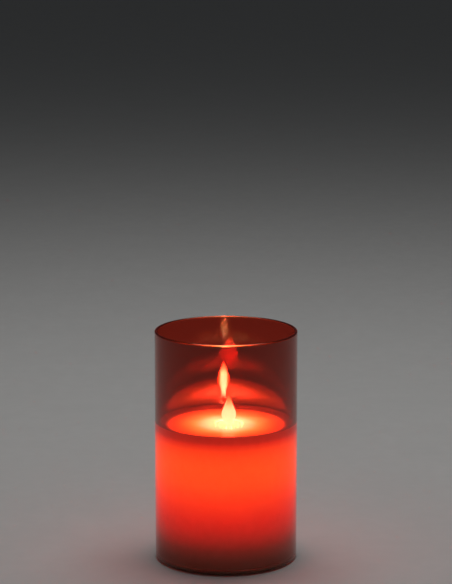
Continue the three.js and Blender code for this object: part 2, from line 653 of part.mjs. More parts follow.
// The flame paddle is drawn about the pivot: a leaf above, a boss at the pivot and a tail below.
function addFlame() {
  const outline = new THREE.Shape();
  outline.moveTo(0, FLAME_TIP);
  paddleSide(outline, -1);
  outline.lineTo(PADDLE_TAIL_HALF, PADDLE_TAIL_END);
  paddleSide(outline, 1);
  outline.holes.push(new THREE.Path().absarc(0, 0, PIVOT_HOLE_RADIUS, 0, 2 * Math.PI, true));
  const leaf = plateAcrossY(outline, FLAME_THICKNESS, 7);
  const padTop = PADDLE_TAIL_END + 0.2;
  const pad = disc(MAGNET_PAD.radius, padTop - MAGNET_PAD.thickness, padTop);
  const paddle = addPiece("flame_paddle", combine(leaf, [pad]), FINISH.flame);
  paddle.position.set(TOWER_X, FLAME_Y, PIVOT_Z);

  const magnetTop = PIVOT_Z + padTop - MAGNET_PAD.thickness - GAP;
  const magnet = disc(MAGNET.radius, -MAGNET.height, 0);
  addPiece("pendulum_magnet", magnet, FINISH.nickel).position.set(TOWER_X, FLAME_Y, magnetTop);
}

function addCoil() {
  const { core, flange, flangeThickness, height, bore, bottom } = COIL;
  const bobbin = turned([
    [bore, 0], [flange, 0], [flange, flangeThickness], [core, flangeThickness],
    [core, height - flangeThickness], [flange, height - flangeThickness], [flange, height], [bore, height],
    [bore, 0],
  ], 24);
  addPiece("coil_bobbin", bobbin, FINISH.blackPlastic).position.set(TOWER_X, FLAME_Y, bottom);

  const inner = core + GAP;
  const outer = flange - 0.6;
  const low = flangeThickness + GAP;
  const high = height - flangeThickness - GAP;
  const winding = turned([[inner, low], [outer, low], [outer, high], [inner, high], [inner, low]], 24);
  addPiece("coil_winding", winding, FINISH.copper).position.set(TOWER_X, FLAME_Y, bottom);
}

function addLed() {
  const { radius, flange, flangeThickness, length, tilt, tipY, tipZ } = LED;
  const tilted = THREE.MathUtils.degToRad(tilt);
  const domeFacets = 4;
  const profile = [[0, -length], [flange, -length], [flange, flangeThickness - length],
    [radius, flangeThickness - length]];
  for (let step = 0; step < domeFacets; step += 1) {
    const angle = (step / domeFacets) * (Math.PI / 2);
    profile.push([radius * Math.cos(angle), radius * (Math.sin(angle) - 1)]);
  }
  profile.push([0, 0]);
  const lens = turned(profile).rotateX(tilted).translate(TOWER_X, tipY, tipZ);
  const baseY = tipY + (length - 0.3) * Math.sin(tilted);
  const baseZ = tipZ - (length - 0.3) * Math.cos(tilted);
  const leads = [-1, 1].map((side) => {
    const x = TOWER_X + side * LED_LEAD.spacing;
    const points = [[x, baseY, baseZ], [x, baseY + 0.5, baseZ - 0.75], [x, LED_LEAD.endY, 64],
      [x, LED_LEAD.endY, 61], [x, LED_LEAD.endY, LED_LEAD.endZ]];
    return tube(points, LED_LEAD.radius, 10, 6);
  });
  addPiece("led", combine(lens, leads), FINISH.lens);
}

function addLedHolder() {
  const { width, minY, maxY, bottom, top, bore } = LED_HOLDER;
  const space = mouthShape(GAP);
  const fitted = prism(space, bottom, top, 6).translate(TOWER_X, TOWER_Y, 0);
  const envelope = block(TOWER_X - width / 2, TOWER_X + width / 2, minY, maxY, bottom - 1, top + 1);
  const outer = common(fitted, envelope);
  const tilted = THREE.MathUtils.degToRad(LED.tilt);
  const flangeTop = LED.flangeThickness - LED.length;
  const hole = disc(bore, flangeTop, LED.length).rotateX(tilted);
  const flangeRoom = disc(LED.flange + GAP, flangeTop - LED.length, flangeTop + GAP).rotateX(tilted);
  const cuts = [hole, flangeRoom].map((cut) => cut.translate(TOWER_X, LED.tipY, LED.tipZ));
  addPiece("led_holder", combine(outer, [], cuts), FINISH.whitePlastic);
}

// ---------------------------------------------------------------- wires

function addWires() {
  const landing = BOARD_TOP + 0.4;
  const tabTop = TAB.top + GAP;
  const switchTop = BASE_TOP + SWITCH_BODY.height + SWITCH_TERMINALS.length + 2 * GAP;
  const [firstTerminal, secondTerminal] = SWITCH_TERMINALS.places;

  const positive = [
    [CONTACT_X, -CELL_PITCH, tabTop], [23.4, -11.2, 21], [19.5, -11.6, 23.5], [15, -10.6, 25],
    [13, -7.6, 24.8], [12.6, -6.5, landing],
  ];
  addPiece("positive_wire", tube(positive, WIRE_RADIUS, 14), FINISH.redWire);

  const negative = [
    [-CONTACT_X, CELL_PITCH, tabTop], [-23.4, 12.4, 20.6], [-19.5, 16.6, 21], [-12, 21, 18],
    [-5, 23.4, 14.6], [firstTerminal, SWITCH_Y, switchTop],
  ];
  addPiece("negative_wire", tube(negative, WIRE_RADIUS, 16), FINISH.blackWire);

  const fromSwitch = [
    [secondTerminal, SWITCH_Y, switchTop], [0.8, 23.2, 15], [3.6, 19.6, 20], [6, 13.4, 24.4],
    [6.4, 8.6, 24.8], [6.4, 7, landing],
  ];
  addPiece("switch_wire", tube(fromSwitch, WIRE_RADIUS, 14), FINISH.redWire);

  const ledWires = { plus: [1, FINISH.redWire], minus: [-1, FINISH.blackWire] };
  for (const [word, [side, finish]] of Object.entries(ledWires)) {
    const x = TOWER_X + side * LED_LEAD.spacing;
    const route = [
      [x, LED_LEAD.endY, LED_LEAD.endZ - GAP], [x, 6.9, 48], [x, 6.6, 36], [x, 6.4, 28], [x, 6.4, landing],
    ];
    addPiece(`led_wire_${word}`, tube(route, WIRE_RADIUS, 10), finish);
  }

  const coilWires = { start: -1, end: 1 };
  const coilEdge = FLAME_Y + COIL.flange - 0.4;
  const coilMiddle = COIL.bottom + 6;
  for (const [word, side] of Object.entries(coilWires)) {
    const x = TOWER_X + side * 2.4;
    const route = [
      [TOWER_X + side * 1.2, coilEdge, coilMiddle], [x, coilEdge + 1.4, coilMiddle - 1.2], [x, 5.2, 31],
      [x, 5.3, 27], [x, 5.3, landing],
    ];
    addPiece(`coil_wire_${word}`, tube(route, COIL_WIRE_RADIUS, 12), FINISH.copper);
  }
}

// ---------------------------------------------------------------- screws

function addScrews() {
  BOSS_PLACES.forEach(([x, y], index) => {
    const place = addPiece(`base_screw_${index + 1}`, screw(SCREWS.base), FINISH.steel);
    place.position.set(x, y, BASE_BOTTOM + GAP);
  });
  const sides = { left: -1, right: 1 };
  for (const [word, side] of Object.entries(sides)) {
    const { headHeight } = SCREWS.small;
    const boardScrew = screw(SCREWS.small).rotateX(Math.PI);
    addPiece(`board_screw_${word}`, boardScrew, FINISH.steel)
      .position.set(side * STANDOFF.x, 0, BOARD_TOP + GAP + headHeight);

    const deckScrew = screw({ ...SCREWS.small, length: 2 }).rotateX(Math.PI);
    addPiece(`deck_screw_${word}`, deckScrew, FINISH.steel)
      .position.set(side * DECK_SCREW_X, 0, BOX_TOP + DECK.flangeThickness + 2 * GAP + headHeight);

    const towerScrew = screw({ ...SCREWS.small, length: 2.6 }).rotateX(Math.PI);
    addPiece(`tower_screw_${word}`, towerScrew, FINISH.steel).position.set(
      TOWER_X + side * TOWER_EAR.screwX, side * TOWER_EAR.screwY,
      TOWER.bottom + TOWER_EAR.thickness + GAP + headHeight,
    );

    const shellScrew = screw({ ...SCREWS.small, length: 6 }).rotateX(-Math.PI / 2);
    addPiece(`shell_screw_${word}`, shellScrew, FINISH.steel).position.set(
      TOWER_X + side * SHELL_BOSS.screwX, TOWER_Y - SHELL_BOSS.depth / 2 - GAP - headHeight, SHELL_BOSS.z,
    );
  }
}

addGlass();
addWax();
addBaseCap();
addFeet();
addBatteryDoor();
addBatteryBox();
addCells();
addContacts();
addSwitch();
addBoard();
addDeck();
addTower();
addFlame();
addCoil();
addLed();
addLedHolder();
addWires();
addScrews();

export default candle;
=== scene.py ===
"""The looks of a flameless LED candle in red glass. Lengths are in metres."""

import json
import math

import bmesh
import bpy
from mathutils import Matrix, Vector, noise


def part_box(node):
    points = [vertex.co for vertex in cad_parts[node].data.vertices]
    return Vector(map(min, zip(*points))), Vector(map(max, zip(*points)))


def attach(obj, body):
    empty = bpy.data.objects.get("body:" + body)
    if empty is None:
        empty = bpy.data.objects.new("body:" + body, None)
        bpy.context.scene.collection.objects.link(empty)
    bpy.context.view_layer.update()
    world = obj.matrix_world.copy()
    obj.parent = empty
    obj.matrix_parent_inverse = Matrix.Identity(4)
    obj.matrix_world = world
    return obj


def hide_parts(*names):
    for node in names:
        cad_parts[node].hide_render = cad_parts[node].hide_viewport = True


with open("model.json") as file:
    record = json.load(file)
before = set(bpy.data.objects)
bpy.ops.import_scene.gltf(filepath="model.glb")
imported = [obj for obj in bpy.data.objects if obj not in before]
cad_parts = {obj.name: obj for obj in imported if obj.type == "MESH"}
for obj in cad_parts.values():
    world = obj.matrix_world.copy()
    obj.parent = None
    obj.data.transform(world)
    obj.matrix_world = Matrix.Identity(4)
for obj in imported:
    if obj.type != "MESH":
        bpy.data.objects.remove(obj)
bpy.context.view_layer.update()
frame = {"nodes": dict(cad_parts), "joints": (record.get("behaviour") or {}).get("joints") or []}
NODES = frame["nodes"]
JOINTS = {joint["name"]: joint for joint in frame["joints"]}

MM = 0.001
FULL_TURN = 2 * math.pi
EVENLY = (1, 1, 1)
NOISE_LOW, NOISE_HIGH = 0.3, 0.7    # most of a noise texture's values lie between these
TONE_LOW, TONE_HIGH = 0.25, 0.7     # the same for a broad noise with a fine one over it
PATCH_SIZE = 9 * MM
MIX_FACTOR, MIX_FIRST, MIX_SECOND, MIX_RESULT = 0, 6, 7, 2    # a colour Mix node's sockets


# ---------------------------------------------------------------- node materials


def add_node(tree, kind, inputs=None, **settings):
    """A node with its settings; each input is given a value, or linked from another node's output."""
    node = tree.nodes.new(kind)
    for key, value in settings.items():
        setattr(node, key, value)
    for socket, value in (inputs or {}).items():
        if isinstance(value, bpy.types.NodeSocket):
            tree.links.new(value, node.inputs[socket])
        else:
            node.inputs[socket].default_value = value
    return node


def new_material(name):
    """An empty node material: its tree, its Principled shader, and the object's own coordinates."""
    result = bpy.data.materials.new(name)
    result.use_nodes = True
    tree = result.node_tree
    place = add_node(tree, "ShaderNodeTexCoord").outputs["Object"]
    return result, tree, tree.nodes["Principled BSDF"], place


def grain(tree, place, size, detail=4, stretch=EVENLY):
    """Noise whose spots are about that size in metres, from 0 to 1."""
    moved = add_node(tree, "ShaderNodeMapping", {"Vector": place, "Scale": stretch})
    inputs = {"Vector": moved.outputs["Vector"], "Scale": 1 / size, "Detail": detail, "Roughness": 0.55}
    return add_node(tree, "ShaderNodeTexNoise", inputs).outputs["Fac"]


def ramp(tree, factor, stops, interpolation="LINEAR"):
    """Colours along a 0 to 1 factor. Stops are (position, colour), and a number stands for a grey."""
    node = add_node(tree, "ShaderNodeValToRGB", {"Fac": factor})
    node.color_ramp.interpolation = interpolation
    elements = node.color_ramp.elements
    while len(elements) < len(stops):
        elements.new(0.5)
    for element, (position, colour) in zip(elements, stops):
        element.position = position
        rgb = colour if isinstance(colour, tuple) else (colour,) * 3
        element.color = (*rgb, 1)
    return node.outputs["Color"]


def blend_colours(tree, factor, first, second, kind="MIX"):
    """Mixes two colours. The factor and the colours are values or linked outputs."""
    node = add_node(tree, "ShaderNodeMix", data_type="RGBA", blend_type=kind)
    for socket, value in ((MIX_FACTOR, factor), (MIX_FIRST, first), (MIX_SECOND, second)):
        if isinstance(value, bpy.types.NodeSocket):
            tree.links.new(value, node.inputs[socket])
        else:
            node.inputs[socket].default_value = value if socket == MIX_FACTOR else (*value, 1)
    return node.outputs[MIX_RESULT]


def between(tree, factor, low, high):
    """A number that runs from low to high over the usual range of a noise."""
    inputs = {"Value": factor, "From Min": NOISE_LOW, "From Max": NOISE_HIGH, "To Min": low, "To Max": high}
    return add_node(tree, "ShaderNodeMapRange", inputs).outputs["Result"]


def axis_value(tree, place, axis):
    """One coordinate of the place."""
    return add_node(tree, "ShaderNodeSeparateXYZ", {"Vector": place}).outputs[axis]


def share_of(tree, value, low, high):
    """How far a value has come from low to high, from 0 to 1."""
    inputs = {"Value": value, "From Min": low, "From Max": high}
    return add_node(tree, "ShaderNodeMapRange", inputs).outputs["Result"]


def scaled(tree, value, factor):
    return add_node(tree, "ShaderNodeMath", {0: value, 1: factor}, operation="MULTIPLY").outputs[0]


def size_without_sign(tree, value):
    return add_node(tree, "ShaderNodeMath", {0: value}, operation="ABSOLUTE").outputs[0]


def glow(tree, shader, colour, strength):
    """Light given off by the surface itself."""
    tree.links.new(colour, shader.inputs["Emission Color"])
    shader.inputs["Emission Strength"].default_value = strength


def bump(tree, shader, height, depth, strength=1.0, below=None):
    """Raises the shader's surface by a height texture, with depth in metres for the full 0 to 1."""
    inputs = {"Height": height, "Distance": depth, "Strength": strength}
    if below is not None:
        inputs["Normal"] = below
    node = add_node(tree, "ShaderNodeBump", inputs)
    tree.links.new(node.outputs["Normal"], shader.inputs["Normal"])
    return node.outputs["Normal"]


def moulded(name, dark, light, rough=(0.4, 0.55), grain_size=0.6 * MM, depth=0.02 * MM):
    """Moulded plastic, rubber or paint: a fine grain over broad faint changes of colour and gloss."""
    result, tree, shader, place = new_material(name)
    broad = grain(tree, place, PATCH_SIZE, 3)
    fine = grain(tree, place, grain_size, 6)
    lift = 0.2
    tone = add_node(tree, "ShaderNodeMath", {0: broad, 1: fine, 2: lift}, operation="MULTIPLY_ADD")
    tones = [(TONE_LOW, dark), (TONE_HIGH, light)]
    tree.links.new(ramp(tree, tone.outputs[0], tones), shader.inputs["Base Color"])
    tree.links.new(between(tree, broad, *rough), shader.inputs["Roughness"])
    bump(tree, shader, fine, depth)
    return result


def metal(name, dark, light, rough, brushed=EVENLY):
    """Plated or drawn metal with fine marks along one direction."""
    result, tree, shader, place = new_material(name)
    marks = grain(tree, place, 0.35 * MM, 8, brushed)
    broad = grain(tree, place, 3 * MM, 3)
    tree.links.new(ramp(tree, broad, [(NOISE_LOW, dark), (NOISE_HIGH, light)]), shader.inputs["Base Color"])
    tree.links.new(between(tree, marks, *rough), shader.inputs["Roughness"])
    bump(tree, shader, marks, 0.01 * MM)
    shader.inputs["Metallic"].default_value = 1
    return result


# ---------------------------------------------------------------- mesh helpers


def shade(shape):
    """Makes a bmesh smooth, apart from its sharp edges."""
    sharp_from = math.radians(35)
    bmesh.ops.recalc_face_normals(shape, faces=shape.faces)
    for face in shape.faces:
        face.smooth = True
    for edge in shape.edges:
        edge.smooth = edge.calc_face_angle(0) < sharp_from


def new_piece(name, shape, body, materials, nodes):
    """Turns a bmesh into a piece that rides on a body and stands for CAD nodes."""
    mesh = bpy.data.meshes.new(name)
    shade(shape)
    shape.to_mesh(mesh)
    shape.free()
    for each in materials:
        mesh.materials.append(each)
    piece = bpy.data.objects.new(name, mesh)
    bpy.context.scene.collection.objects.link(piece)
    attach(piece, body)
    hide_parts(*nodes)
    return piece


def circle_angles(count):
    return [FULL_TURN * index / count for index in range(count)]


def ring_of_points(shape, points):
    return [shape.verts.new(point) for point in points]


def skin(shape, first, second, material_index=0):
    """Faces between two rings of points; a ring of one point is a tip."""
    count = max(len(first), len(second))
    for index in range(count):
        following = (index + 1) % count
        corners = [
            first[index % len(first)],
            first[following % len(first)],
            second[following % len(second)],
            second[index % len(second)],
        ]
        face = shape.faces.new(list(dict.fromkeys(corners)))
        face.material_index = material_index


def lathe(profile, segments=64):
    """A closed shape turned about Z from (radius, height) points in metres."""
    shape = bmesh.new()
    rings = []
    for radius, height in profile:
        angles = circle_angles(segments if radius > 0 else 1)
        points = [(radius * math.cos(angle), radius * math.sin(angle), height) for angle in angles]
        rings.append(ring_of_points(shape, points))
    for first, second in zip(rings, rings[1:]):
        skin(shape, first, second)
    if profile[0][0] > 0:
        skin(shape, rings[-1], rings[0])
    return shape


def rounded(corners, radius, steps=4):
    """A profile of (radius, height) corners with all but its first and last corner rounded."""
    result = [corners[0]]
    for before, corner, after in zip(corners, corners[1:], corners[2:]):
        here = Vector(corner)
        back = Vector(before) - here
        ahead = Vector(after) - here
        reach = min(radius, back.length * 0.45, ahead.length * 0.45)
        start = here + back.normalized() * reach
        end = here + ahead.normalized() * reach
        for step in range(steps + 1):
            share = step / steps
            result.append(tuple(start.lerp(here, share).lerp(here.lerp(end, share), share)))
    result.append(corners[-1])
    return result


# ---------------------------------------------------------------- glass

GLASS_RADIUS = 38 * MM
GLASS_WALL = 1.5 * MM
GLASS_LOW, GLASS_HIGH = (corner.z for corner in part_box("glass_cylinder"))
GLASS_SEGMENTS = 256
WALL_TINT = (0.56, 0.05, 0.028, 1)
GLASS_INDEX = 1.8                       # high, for the strong reflections of a lustre coat
LUSTRE = (1.0, 0.82, 0.62, 1)
RIM_GLOW = [
    # share of the radius in front of or behind the axis, and colour
    (0.0, (0.03, 0.001, 0.0)),
    (0.5, (0.03, 0.001, 0.0)),
    (0.85, (0.03, 0.003, 0.0)),
    (0.94, (0.03, 0.012, 0.001)),
    (0.985, (0.08, 0.05, 0.008)),
    (0.997, (0.45, 0.20, 0.045)),
    (1.0, (1.0, 0.44, 0.09)),
]


def glass_material(name, glowing):
    """Clear red glass with faint waves and finger marks. The rim has a painted glow of the flame's light."""
    result, tree, shader, place = new_material(name)
    shader.inputs["Base Color"].default_value = WALL_TINT
    shader.inputs["Transmission Weight"].default_value = 1
    shader.inputs["IOR"].default_value = GLASS_INDEX
    shader.inputs["Specular Tint"].default_value = LUSTRE
    smudges = grain(tree, place, 14 * MM, 5)
    clear_and_marked = [(0.5, 0.0), (0.62, 0.012), (0.75, 0.03)]
    tree.links.new(ramp(tree, smudges, clear_and_marked), shader.inputs["Roughness"])
    waves = grain(tree, place, 30 * MM, 2, (1, 1, 0.3))
    bump(tree, shader, waves, 0.05 * MM, 0.4)
    if glowing:
        # painted glow on the rim, strongest in front of and behind the axis
        along = scaled(tree, axis_value(tree, place, "Y"), 1 / GLASS_RADIUS)
        glow(tree, shader, ramp(tree, size_without_sign(tree, along), RIM_GLOW), 1)
    return result


def glass_profile():
    """The section of the glass wall: a foot with eased corners and a fire-polished lip."""
    inner = GLASS_RADIUS - GLASS_WALL
    centre = GLASS_RADIUS - GLASS_WALL / 2
    lip = GLASS_WALL / 2
    ease = 0.4 * MM
    beside = 0.12 * MM
    low = GLASS_LOW + ease
    high = GLASS_HIGH - lip
    steps = 24
    levels = [low + beside + (high - low - 2 * beside) * step / steps for step in range(steps + 1)]
    points = [
        (inner, low),
        (inner + 0.3 * ease, GLASS_LOW + 0.3 * ease),
        (inner + ease, GLASS_LOW),
        (GLASS_RADIUS - ease, GLASS_LOW),
        (GLASS_RADIUS - 0.3 * ease, GLASS_LOW + 0.3 * ease),
        (GLASS_RADIUS, low),
    ]
    points += [(GLASS_RADIUS, level) for level in levels]
    lip_steps = 12
    for step in range(lip_steps + 1):
        angle = math.pi * step / lip_steps
        points.append((centre + lip * math.cos(angle), high + lip * math.sin(angle)))
    points += [(inner, level) for level in reversed(levels)]
    return points


def build_glass():
    shape = lathe(glass_profile(), GLASS_SEGMENTS)
    lip_start = GLASS_HIGH - GLASS_WALL * 0.55
    for face in shape.faces:
        face.material_index = int(face.calc_center_median().z > lip_start)
    materials = [glass_material("red_glass", False), glass_material("red_glass_rim", True)]
    return new_piece("glass_tube", shape, "root", materials, ["glass_cylinder"])


# ---------------------------------------------------------------- wax

WAX_RADIUS = GLASS_RADIUS - GLASS_WALL + 0.05 * MM
WAX_INNER = 31.6 * MM
WAX_LOW, WAX_EDGE = (corner.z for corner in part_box("wax_shell"))
POOL_LEVEL = 73.6 * MM
CEILING = 67 * MM
HOLE_CENTRE = Vector((1.5 * MM, -0.6 * MM))
HOLE_HALF = (7 * MM, 10 * MM)
HOLE_CORNER = 6.5 * MM
HOLE_STRAIGHT = 2.2 * MM                # how far below the pool the hole's straight wall ends
WAX_SEGMENTS = 192
SIDE_FACES, POOL_FACES, INNER_FACES = range(3)
POOL_EDGE = 31.5 * MM
RAISED_EDGE = [
    # radius and height in millimetres, from the pool to the top of the edge
    (32.4, 73.72), (33.3, 74.0), (34.1, 74.42), (34.8, 74.88), (35.3, 75.18), (35.8, 75.36), (36.2, 75.4),
]

GLOW_HEIGHT = 80 * MM
SIDE_GLOW = [
    # millimetres above the floor, and colour
    (2, (0.004, 0.0, 0.0)),
    (7.5, (0.013, 0.0, 0.0)),
    (13, (0.070, 0.0004, 0.0)),
    (18.6, (0.27, 0.0006, 0.0)),
    (24, (0.47, 0.004, 0.001)),
    (30, (0.66, 0.015, 0.002)),
    (35, (0.83, 0.046, 0.004)),
    (41, (1.02, 0.094, 0.008)),
    (48, (1.20, 0.185, 0.016)),
    (57, (1.24, 0.220, 0.020)),
    (63, (1.18, 0.185, 0.016)),
    (67, (1.06, 0.125, 0.010)),
    (70.2, (0.70, 0.018, 0.002)),
    (72, (0.36, 0.002, 0.001)),
    (75.4, (0.33, 0.002, 0.001)),
]
POOL_LIGHT = Vector((0.3 * MM, -0.5 * MM))
POOL_SHAPE = (1.15, 1.0, 0)
POOL_REACH = 40 * MM
POOL_GLOW = [
    # millimetres from POOL_LIGHT, and colour
    (0, (0.45, 0.26, 0.15)),
    (7, (0.48, 0.31, 0.19)),
    (9.5, (0.50, 0.37, 0.235)),
    (12.5, (0.44, 0.315, 0.21)),
    (15.5, (0.36, 0.230, 0.145)),
    (18.5, (0.25, 0.145, 0.051)),
    (21.5, (0.16, 0.092, 0.024)),
    (25, (0.095, 0.054, 0.011)),
    (28, (0.070, 0.030, 0.005)),
    (32, (0.062, 0.014, 0.002)),
    (40, (0.030, 0.004, 0.001)),
]
POOL_STRENGTH = 48
EDGE_SHADE = [
    # millimetres from the axis, and grey
    (0, 1.0),
    (30.6, 1.0),
    (32.4, 0.20),
    (34.5, 0.08),
    (38, 0.05),
]
SHADED_EDGE_WAX = (0.24, 0.05, 0.035)                         # painted shade on the raised edge: dark red in place of ivory wax
SHADED_EDGE_STOPS = [(0.80, 0.0), (0.865, 1.0)]           # by share of the glass radius
INSIDE_GLOW = (1.0, 0.45, 0.16, 1)
INSIDE_STRENGTH = 0.15


def wax_surface(name):
    """Satin ivory wax: faint mottling, soft dimples and a little light carried under the surface."""
    result, tree, shader, place = new_material(name)
    mottle = grain(tree, place, 5 * MM, 5)
    tones = [(NOISE_LOW, (0.80, 0.69, 0.50)), (NOISE_HIGH, (0.88, 0.79, 0.61))]
    tree.links.new(ramp(tree, mottle, tones), shader.inputs["Base Color"])
    tree.links.new(between(tree, grain(tree, place, 2 * MM), 0.38, 0.55), shader.inputs["Roughness"])
    dimples = bump(tree, shader, grain(tree, place, 7 * MM, 2), 0.25 * MM, 0.5)
    bump(tree, shader, grain(tree, place, 0.5 * MM, 4), 0.02 * MM, 1.0, dimples)
    shader.inputs["Coat Weight"].default_value = 0.12
    shader.inputs["Coat Roughness"].default_value = 0.25
    return result, tree, shader, place


def uneven(tree, place, colour, size, low, high):
    """The colour made a little weaker and stronger from place to place."""
    cloud = between(tree, grain(tree, place, size, 2), low, high)
    grey = add_node(tree, "ShaderNodeCombineColor", {"Red": cloud, "Green": cloud, "Blue": cloud})
    return blend_colours(tree, 1.0, colour, grey.outputs["Color"], "MULTIPLY")


def wax_side_material():
    """The side of the wax, lit through from inside: bright in its upper half and dark towards the base."""
    result, tree, shader, place = wax_surface("wax_side")
    height = scaled(tree, axis_value(tree, place, "Z"), 1 / GLOW_HEIGHT)
    stops = [(level * MM / GLOW_HEIGHT, colour) for level, colour in SIDE_GLOW]
    glow(tree, shader, uneven(tree, place, ramp(tree, height, stops), 22 * MM, 0.93, 1.05), 1)
    return result


def distance_share(tree, place, centre, shape, reach):
    """How far a point is from a centre seen from above, as a share of a reach."""
    offset = (-centre.x * shape[0], -centre.y * shape[1], 0)
    inputs = {"Vector": place, "Location": offset, "Scale": shape}
    flat = add_node(tree, "ShaderNodeMapping", inputs)
    length = add_node(tree, "ShaderNodeVectorMath", {0: flat.outputs["Vector"]}, operation="LENGTH")
    return scaled(tree, length.outputs["Value"], 1 / reach)


def wax_pool_material():
    """The dished top, lit from below: nearly white by the flame; painted dark red shade at the raised edge.
    """
    result, tree, shader, place = wax_surface("wax_pool")
    from_light = distance_share(tree, place, POOL_LIGHT, POOL_SHAPE, POOL_REACH)
    stops = [(distance * MM / POOL_REACH, colour) for distance, colour in POOL_GLOW]
    light = uneven(tree, place, ramp(tree, from_light, stops), 9 * MM, 0.88, 1.08)
    from_axis = distance_share(tree, place, Vector((0, 0)), (1, 1, 0), GLASS_RADIUS)
    stops = [(distance * MM / GLASS_RADIUS, share) for distance, share in EDGE_SHADE]
    edge = ramp(tree, from_axis, stops)
    glow(tree, shader, blend_colours(tree, 1.0, light, edge, "MULTIPLY"), POOL_STRENGTH)
    base = shader.inputs["Base Color"].links[0].from_socket
    # painted shade: the base colour turns dark red over the raised edge
    thick = blend_colours(tree, ramp(tree, from_axis, SHADED_EDGE_STOPS), base, SHADED_EDGE_WAX)
    tree.links.new(thick, shader.inputs["Base Color"])
    return result


def wax_inside_material():
    """The moulded inside of the wax shell, which nobody polishes, with a faint painted glow."""
    result, _, shader, _ = wax_surface("wax_inside")
    shader.inputs["Emission Color"].default_value = INSIDE_GLOW
    shader.inputs["Emission Strength"].default_value = INSIDE_STRENGTH
    return result


def hole_point(angle, spread):
    """A point of the hole's outline, moved outwards by spread."""
    steep = 3
    across = max(-1, min(1, steep * math.cos(angle)))
    along = max(-1, min(1, steep * math.sin(angle)))
    corner = HOLE_CORNER + spread
    x = (HOLE_HALF[0] - HOLE_CORNER) * across + corner * math.cos(angle)
    y = (HOLE_HALF[1] - HOLE_CORNER) * along + corner * math.sin(angle)
    return HOLE_CENTRE + Vector((x, y))


def pool_height(x, y, calm):
    """The level of the pool, with the slow ripples that wax sets with."""
    wave = 11 * MM
    ripple = noise.noise(Vector((x / wave, y / wave, 0.3)))
    return POOL_LEVEL + calm * 0.22 * MM * (ripple - 0.4)


def build_wax():
    """One closed skin: up the hole, across the pool, over the raised edge, down the side and inside."""
    shape = bmesh.new()
    angles = circle_angles(WAX_SEGMENTS)
    rings = []

    def hole_ring(spread, height, kind=POOL_FACES):
        points = [hole_point(angle, spread) for angle in angles]
        rings.append((kind, ring_of_points(shape, [(*point, height) for point in points])))

    def circle(kind, radius, height):
        points = [(radius * math.cos(angle), radius * math.sin(angle), height) for angle in angles]
        rings.append((kind, ring_of_points(shape, points)))

    def pool_ring(share):
        calm = min(1, 3 * share, 3 * (1 - share))
        points = []
        for angle in angles:
            edge = Vector((POOL_EDGE * math.cos(angle), POOL_EDGE * math.sin(angle)))
            place = hole_point(angle, lip).lerp(edge, share)
            points.append((*place, pool_height(place.x, place.y, calm)))
        rings.append((POOL_FACES, ring_of_points(shape, points)))

    lip = 1.2 * MM
    lip_drop = 0.1 * MM
    lip_steps = 5
    inner_ease = 0.4 * MM
    hole_ring(0, CEILING + inner_ease, INNER_FACES)
    hole_ring(0, POOL_LEVEL - HOLE_STRAIGHT)
    for step in range(lip_steps + 1):
        turn = math.pi / 2 * step / lip_steps
        hole_ring(lip * (1 - math.cos(turn)), POOL_LEVEL - lip * (1 - math.sin(turn)) - lip_drop)
    pool_steps = 20
    for step in range(1, pool_steps + 1):
        pool_ring(step / pool_steps)
    for radius, level in RAISED_EDGE:
        circle(POOL_FACES, radius * MM, level * MM)

    corner = 0.25 * MM
    shoulder = 1.2 * MM
    foot_ease = 0.5 * MM
    circle(SIDE_FACES, WAX_RADIUS, WAX_EDGE - corner)
    side_steps = 16
    low = WAX_LOW + foot_ease
    high = WAX_EDGE - shoulder
    for step in range(side_steps + 1):
        circle(SIDE_FACES, WAX_RADIUS, high + (low - high) * step / side_steps)
    circle(SIDE_FACES, WAX_RADIUS - foot_ease, WAX_LOW)

    circle(INNER_FACES, WAX_INNER + inner_ease, WAX_LOW)
    circle(INNER_FACES, WAX_INNER, WAX_LOW + inner_ease)
    cove = 5 * MM
    cove_steps = 5
    for step in range(cove_steps + 1):
        turn = math.pi / 2 * step / cove_steps
        inward = cove * (1 - math.cos(turn))
        circle(INNER_FACES, WAX_INNER - inward, CEILING - cove + cove * math.sin(turn))
    hole_ring(inner_ease, CEILING, INNER_FACES)

    for (_, first), (kind, second) in zip(rings, rings[1:] + rings[:1]):
        skin(shape, first, second, kind)
    materials = [wax_side_material(), wax_pool_material(), wax_inside_material()]
    return new_piece("wax_body", shape, "root", materials, ["wax_shell"])


# ---------------------------------------------------------------- flame

FLAME_LOW, FLAME_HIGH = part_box("flame_paddle")
PIVOT = Vector(JOINTS["flame_swing"]["pos_m"])
PIVOT_BORE = 0.8 * MM
BORE_SEGMENTS = 32
LEAF_OUTLINE = [
    # height above the pivot and half width, in millimetres
    (25.0, 0.0), (24.6, 0.26), (24.0, 0.5), (23.0, 0.86), (22.0, 1.22), (21.0, 1.62), (20.0, 2.06),
    (19.0, 2.5), (18.0, 2.92), (17.0, 3.3), (16.0, 3.62), (15.2, 3.8), (14.5, 3.87), (13.8, 3.82),
    (13.0, 3.6), (12.2, 3.24), (11.4, 2.78), (10.6, 2.28), (9.8, 1.82), (9.0, 1.48), (8.2, 1.27),
    (7.4, 1.2), (6.4, 1.21), (5.2, 1.26), (4.0, 1.42), (3.2, 1.66), (2.4, 1.96), (1.5, 2.2), (0.5, 2.3),
    (-0.6, 2.28), (-1.6, 2.14), (-2.6, 1.9), (-3.6, 1.7), (-5.0, 1.54), (-8.0, 1.5), (-12.0, 1.5),
    (-17.8, 1.5),
]
LEAF_THICKNESS = 1.56 * MM
LEAF_SEGMENTS = 48
LEAF_TIP_SHARE = 0.45                   # of the thickness, at the very tip
LEAF_FLATNESS = 0.7                     # 1 is an ellipse, and less is flatter
NECK_HALF_WIDTH = 1.2
PAD_RADIUS = 3.2 * MM
PAD_HEIGHT = 1.2 * MM
FLAME_HALF_WIDTH = 3.9 * MM
FLAME_STRENGTH = 300
